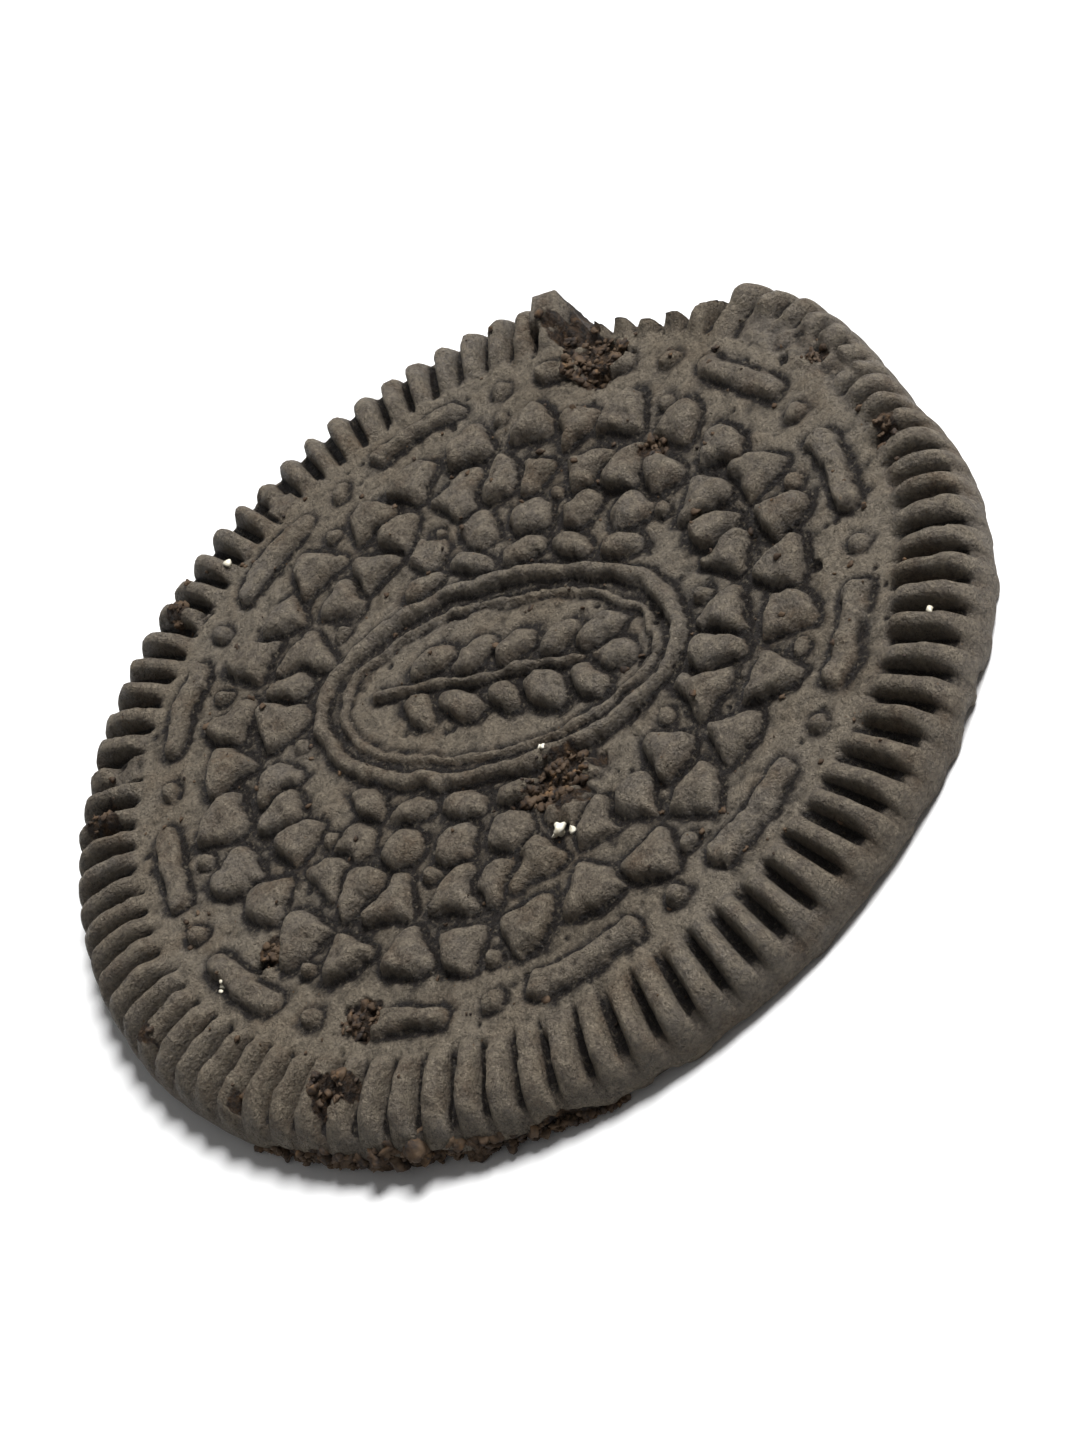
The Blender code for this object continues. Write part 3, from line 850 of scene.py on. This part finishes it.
def lump(rng, size, flat, jagged):
    """Points and faces of one crumb: a ball with knobs and hollows."""
    bm = bmesh.new()
    bmesh.ops.create_icosphere(bm, subdivisions=3 if size > 0.45 else 2, radius=1.0)
    ball = np.array([v.co[:] for v in bm.verts])
    faces = [[v.index for v in f.verts] for f in bm.faces]
    bm.free()
    offset = rng.uniform(0.0, 40.0, 2)
    across, up = ball[:, 0] + 0.7 * ball[:, 2] + offset[0], ball[:, 1] - 0.7 * ball[:, 2] + offset[1]
    bumps = fractal(across, up, 0.9, 3)
    stretch = rng.uniform(0.7, 1.3, 3)
    stretch[2] *= flat
    turn = Matrix.Rotation(rng.uniform(0.0, math.tau), 3, "Z")
    points = ball * (1.0 + jagged * bumps)[:, None] * stretch * size / 2
    return points @ np.array(turn), faces


def heap_mesh(name, rng, places, flat, jagged):
    """One mesh of many lumps. Each place is (x, y, z, size)."""
    points, faces, start = [], [], 0
    for x, y, z, size in places:
        lump_points, lump_faces = lump(rng, size, flat, jagged)
        lump_points = lump_points + (x, y, z)
        lump_points[:, 2] = np.clip(lump_points[:, 2], 0.0, TOP)
        points.append(lump_points)
        faces += [[start + k for k in face] for face in lump_faces]
        start += len(lump_points)
    mesh = bpy.data.meshes.new(name)
    mesh.from_pydata(((np.concatenate(points) + (AXIS_X, 0.0, 0.0)) * MM).tolist(), [], faces)
    mesh.update()
    return mesh


def height_at(points, x, y):
    """Height of the wafer's upper surface at a place."""
    upper = points[points[:, 2] > FACE - 1.3]
    return upper[np.argmin((upper[:, 0] - x) ** 2 + (upper[:, 1] - y) ** 2), 2]


def make_cream_specks(points, material):
    rng = np.random.default_rng(31)
    places = []
    for angle, radius, size in CREAM_SPECKS:
        x, y = polar(radius, angle)
        places.append((x, y, height_at(points, x, y) + 0.15 * size, size))
        for _ in range(2):
            dx, dy = rng.normal(0.0, 0.32 * size, 2)
            bit = size * rng.uniform(0.4, 0.7)
            places.append((x + dx, y + dy, height_at(points, x + dx, y + dy) + 0.2 * bit, bit))
    obj = new_object("cream_specks", heap_mesh("cream_specks", rng, places, 0.8, 0.35), material)
    own_piece(obj)


def on_wafer(x, y):
    """Whether a place lies on the face, clear of the break and of the rim's outer slope."""
    angle = math.degrees(math.atan2(y, x))
    radius = math.hypot(x, y)
    in_break = BREAK_OUTLINE[0][0] < angle < BREAK_OUTLINE[-1][0] and radius > 19.0
    return radius < RADIUS - 1.4 - worn_back(angle) and not in_break


def crumb_places(points, rng):
    """Crumbs heaped on the broken skin, and fine ones strewn over the whole face."""
    for angle, radius, size_out, size_across, _ in CRUMB_SPOTS:
        for _ in range(int(HEAPED_CRUMBS * size_out * size_across)):
            away = 0.85 * math.sqrt(rng.uniform())
            turn = rng.uniform(0.0, math.tau)
            out, across = away * size_out * math.cos(turn), away * size_across * math.sin(turn)
            x, y = turned(radius + out, across, -angle)
            size = 0.14 + 0.34 * rng.uniform() ** 2
            if on_wafer(x, y):
                yield x, y, height_at(points, x, y) + 0.10 * size, size
    for _ in range(STREWN_CRUMBS):
        x, y = polar(RADIUS * math.sqrt(rng.uniform()), rng.uniform(0.0, 360.0))
        size = 0.09 + 0.24 * rng.uniform() ** 2
        if on_wafer(x, y):
            yield x, y, height_at(points, x, y) + 0.15 * size, size


def foot_places(rng):
    """Torn crumb of the chipped foot, in layers, with a few larger flakes hanging from it."""
    start, end = CHIPPED_FOOT
    for k in range(FOOT_CRUMBS):
        angle = start + (end - start) * rng.uniform()
        share = math.sin(math.pi * (angle - start) / (end - start))
        size = 0.18 + (0.20 + 0.42 * share) * rng.uniform() ** 2.0
        x, y = polar(RADIUS - 0.05 - 0.20 * size - 0.35 * rng.uniform(), angle)
        yield x, y, 0.42 * size + 1.20 * share * rng.uniform(), size


def make_loose_crumbs(points, material):
    rng = np.random.default_rng(32)
    places = list(crumb_places(points, rng)) + list(foot_places(rng))
    obj = new_object("loose_crumbs", heap_mesh("loose_crumbs", rng, places, 0.70, 0.75), material)
    own_piece(obj)


# Materials ----------------------------------------------------------------------------------------


def linear(colour):
    """A 0 to 255 screen colour as the linear colour that a shader takes."""
    channels = [c / 255.0 for c in colour]
    return tuple(c / 12.92 if c <= 0.04045 else ((c + 0.055) / 1.055) ** 2.4 for c in channels) + (1.0,)


class Nodes:
    """Short calls for building one material's nodes. Feature sizes are in millimetres."""

    def __init__(self, name):
        self.material = bpy.data.materials.new(name)
        self.material.use_nodes = True
        self.tree = self.material.node_tree
        self.shader = self.tree.nodes["Principled BSDF"]
        self.place = self.tree.nodes.new("ShaderNodeTexCoord").outputs["Object"]

    def plug(self, value, socket):
        if isinstance(value, bpy.types.NodeSocket):
            self.tree.links.new(value, socket)
        else:
            socket.default_value = value

    def attribute(self, name):
        node = self.tree.nodes.new("ShaderNodeAttribute")
        node.attribute_name = name
        return node.outputs["Fac"]

    def noise(self, feature, detail=3.0, roughness=0.55):
        node = self.tree.nodes.new("ShaderNodeTexNoise")
        node.inputs["Scale"].default_value = 1.0 / (feature * MM)
        node.inputs["Detail"].default_value = detail
        node.inputs["Roughness"].default_value = roughness
        self.tree.links.new(self.place, node.inputs["Vector"])
        return node.outputs["Fac"]

    def cells(self, feature):
        node = self.tree.nodes.new("ShaderNodeTexVoronoi")
        node.inputs["Scale"].default_value = 1.0 / (feature * MM)
        self.tree.links.new(self.place, node.inputs["Vector"])
        return node.outputs["Distance"]

    def remap(self, value, low, high, to_low=0.0, to_high=1.0):
        node = self.tree.nodes.new("ShaderNodeMapRange")
        self.plug(value, node.inputs["Value"])
        node.inputs["From Min"].default_value = low
        node.inputs["From Max"].default_value = high
        node.inputs["To Min"].default_value = to_low
        node.inputs["To Max"].default_value = to_high
        return node.outputs["Result"]

    def math(self, operation, a, b):
        node = self.tree.nodes.new("ShaderNodeMath")
        node.operation = operation
        self.plug(a, node.inputs[0])
        self.plug(b, node.inputs[1])
        return node.outputs["Value"]

    def mix(self, factor, a, b):
        node = self.tree.nodes.new("ShaderNodeMix")
        node.data_type = "RGBA"
        self.plug(factor, node.inputs["Factor"])
        colour_a, colour_b = [socket for socket in node.inputs if socket.type == "RGBA"]
        self.plug(a, colour_a)
        self.plug(b, colour_b)
        return next(socket for socket in node.outputs if socket.type == "RGBA")

    def bump(self, height, distance, strength=1.0, normal=None):
        node = self.tree.nodes.new("ShaderNodeBump")
        self.plug(height, node.inputs["Height"])
        node.inputs["Distance"].default_value = distance * MM
        node.inputs["Strength"].default_value = strength
        if normal is not None:
            self.tree.links.new(normal, node.inputs["Normal"])
        return node.outputs["Normal"]

    def finish(self, colour, roughness, normal, specular=0.5):
        self.plug(colour, self.shader.inputs["Base Color"])
        self.plug(roughness, self.shader.inputs["Roughness"])
        self.plug(normal, self.shader.inputs["Normal"])
        self.shader.inputs["Specular IOR Level"].default_value = specular
        return self.material


def crumb_colour(nodes):
    """Broken crumb: brown lumps, a few golden ones, dark between."""
    lumps = nodes.noise(0.35, 3.0, 0.6)
    brown = nodes.mix(nodes.remap(lumps, 0.38, 0.60), linear(CRUMB_DARK), linear(CRUMB_BROWN))
    golden = nodes.remap(nodes.noise(0.7, 2.0), 0.60, 0.74)
    return nodes.mix(golden, brown, linear(CRUMB_GOLD))


def wafer_material():
    nodes = Nodes("baked_cocoa")
    hollow = nodes.attribute("hollow")
    dip = nodes.attribute("dip")
    crumb = nodes.attribute("crumb")

    drift = nodes.remap(nodes.noise(6.0, 3.0), 0.35, 0.65)
    colour = nodes.mix(drift, linear(COCOA), linear(COCOA_GREY))
    warm = nodes.remap(nodes.noise(2.2, 4.0, 0.6), 0.50, 0.72, 0.0, 0.75)
    colour = nodes.mix(warm, colour, linear(COCOA_WARM))
    colour = nodes.mix(nodes.remap(nodes.attribute("floor"), 0.0, 1.0, 0.0, 0.46), colour, linear(DUST_AND_HIGHLIGHT))
    # Lighter crests: partly rubbed dust, partly a painted highlight on the tops.
    crest = nodes.remap(hollow, -0.01, -0.08, 0.0, 0.60)
    crest_wear_and_highlight = nodes.math("MULTIPLY", crest, nodes.remap(nodes.noise(0.6, 4.0, 0.65), 0.40, 0.62))
    colour = nodes.mix(crest_wear_and_highlight, colour, linear(DUST_AND_HIGHLIGHT))
    # Painted shade: darker in the broad dips and the tight hollows, where shade falls.
    low = nodes.remap(dip, 0.04, 0.30, 0.0, 0.8)
    deep = nodes.math("ADD", nodes.remap(hollow, 0.0, 0.10, 0.0, 0.75), low)
    colour = nodes.mix(nodes.remap(deep, 0.0, 1.0), colour, linear(SHADE_AND_SPECK_DARK))
    mottle = nodes.noise(0.22, 3.0, 0.7)
    colour = nodes.mix(nodes.remap(mottle, 0.50, 0.70, 0.0, 0.50), colour, linear(SHADE_AND_SPECK_DARK))
    colour = nodes.mix(nodes.remap(mottle, 0.46, 0.30, 0.0, 0.45), colour, linear(DUST_AND_HIGHLIGHT))
    broken = nodes.math("ADD", crumb, nodes.remap(nodes.noise(0.5, 3.0), 0.3, 0.7, -0.3, 0.3))
    colour = nodes.mix(nodes.remap(broken, 0.45, 0.75), colour, crumb_colour(nodes))
    patches = nodes.remap(nodes.noise(2.0), 0.55, 0.62)
    specks = nodes.math("MULTIPLY", nodes.remap(nodes.cells(0.55), 0.10, 0.06), patches)
    colour = nodes.mix(specks, colour, linear(CRUMB_GOLD))

    roughness = nodes.remap(nodes.noise(1.1, 4.0, 0.6), 0.3, 0.7, 0.42, 0.66)
    grain = nodes.noise(0.16, 4.0, 0.65)
    pores = nodes.remap(nodes.cells(0.42), 0.02, 0.22)
    normal = nodes.bump(pores, 0.12, 0.8)
    normal = nodes.bump(nodes.noise(0.50, 5.0, 0.7), 0.80, 1.0, normal)
    normal = nodes.bump(grain, 0.40, 1.0, normal)
    return nodes.finish(colour, roughness, normal, 0.24)


def crumb_material():
    nodes = Nodes("broken_cocoa_crumb")
    share = nodes.remap(nodes.noise(0.9, 2.0), 0.36, 0.52)
    colour = nodes.mix(share, linear(CRUMB_WARM), crumb_colour(nodes))
    roughness = nodes.remap(nodes.noise(0.4), 0.3, 0.7, 0.65, 0.85)
    normal = nodes.bump(nodes.noise(0.14, 4.0, 0.65), 0.05, 0.9)
    return nodes.finish(colour, roughness, normal, 0.3)


def cream_material():
    nodes = Nodes("dried_cream")
    colour = nodes.mix(nodes.remap(nodes.noise(0.3, 3.0), 0.4, 0.7), linear(CREAM), linear(CREAM_SHADE))
    roughness = nodes.remap(nodes.noise(0.5), 0.3, 0.7, 0.35, 0.55)
    normal = nodes.bump(nodes.noise(0.2, 3.0), 0.03, 0.5)
    return nodes.finish(colour, roughness, normal)


def floor_material():
    """A plain white floor that keeps the shadow. To the camera it's brighter than it is to the cookie."""
    nodes = Nodes("pale_floor")
    rays = nodes.tree.nodes.new("ShaderNodeLightPath")
    colour = nodes.mix(rays.outputs["Is Camera Ray"], (0.72, 0.72, 0.72, 1.0), linear((255, 255, 255)))
    nodes.plug(colour, nodes.shader.inputs["Base Color"])
    nodes.shader.inputs["Roughness"].default_value = 0.9
    nodes.shader.inputs["Specular IOR Level"].default_value = 0.0
    return nodes.material


# Stage --------------------------------------------------------------------------------------------


def make_floor():
    half = 0.3
    corners = [(-half, -half, 0.0), (half, -half, 0.0), (half, half, 0.0), (-half, half, 0.0)]
    mesh = bpy.data.meshes.new("floor")
    mesh.from_pydata(corners, [], [(0, 1, 2, 3)])
    mesh.materials.append(floor_material())
    floor = bpy.data.objects.new("floor", mesh)
    floor.location.z = -0.02 * MM
    bpy.context.scene.collection.objects.link(floor)


def make_world():
    """Even soft light, with a white background for the camera and for glossy and transmitted rays."""
    world = bpy.data.worlds.new("studio")
    world.use_nodes = True
    bpy.context.scene.world = world
    tree = world.node_tree
    background = tree.nodes["Background"]
    background.inputs["Color"].default_value = (1.0, 1.0, 1.0, 1.0)
    rays = tree.nodes.new("ShaderNodeLightPath")
    strength = tree.nodes.new("ShaderNodeMapRange")
    strength.inputs["To Min"].default_value = AMBIENT
    strength.inputs["To Max"].default_value = 1.0
    shows = rays.outputs["Is Camera Ray"]
    for ray in ("Is Glossy Ray", "Is Transmission Ray"):
        either = tree.nodes.new("ShaderNodeMath")
        either.operation = "MAXIMUM"
        tree.links.new(shows, either.inputs[0])
        tree.links.new(rays.outputs[ray], either.inputs[1])
        shows = either.outputs["Value"]
    tree.links.new(shows, strength.inputs["Value"])
    tree.links.new(strength.outputs["Result"], background.inputs["Strength"])


def make_key_light():
    """One large soft lamp, high on the +X side."""
    data = bpy.data.lights.new("key", "AREA")
    data.shape = "DISK"
    data.size = KEY_SIZE * MM
    data.energy = KEY_WATTS
    lamp = bpy.data.objects.new("key", data)
    direction = Vector(KEY_FROM).normalized()
    lamp.location = direction * KEY_DISTANCE * MM
    lamp.rotation_euler = direction.to_track_quat("Z", "Y").to_euler()
    bpy.context.scene.collection.objects.link(lamp)


def make_camera():
    """Looks down on the face from the near side, rolled so that the far side is at the upper left."""
    tilt = math.radians(CAMERA_ELEVATION)
    roll = math.radians(CAMERA_ROLL)
    centre = Vector((AXIS_X, 0.0, FACE))
    away = Vector((0.0, -math.cos(tilt), math.sin(tilt)))
    location = centre + CAMERA_DISTANCE * away
    back = (location - centre - Vector(CAMERA_AIM)).normalized()
    level_up = Vector((0.0, math.sin(tilt), math.cos(tilt)))
    up = math.sin(roll) * Vector((1.0, 0.0, 0.0)) + math.cos(roll) * level_up
    right = up.cross(back).normalized()
    up = back.cross(right)
    data = bpy.data.cameras.new("camera")
    data.lens = CAMERA_LENS
    data.sensor_fit = "AUTO"
    data.sensor_width = 36.0
    data.clip_start = 0.005
    data.clip_end = 20.0
    camera = bpy.data.objects.new("camera", data)
    basis = Matrix((right, up, back)).transposed().to_4x4()
    camera.matrix_world = Matrix.Translation(location * MM) @ basis
    bpy.context.scene.collection.objects.link(camera)
    bpy.context.scene.camera = camera


def main():
    bpy.context.scene.view_settings.view_transform = "Standard"
    make_camera()
    make_world()
    make_key_light()
    make_floor()
    points = make_wafer(wafer_material())
    make_cream_specks(points, cream_material())
    make_loose_crumbs(points, crumb_material())
    bpy.context.view_layer.update()


main()
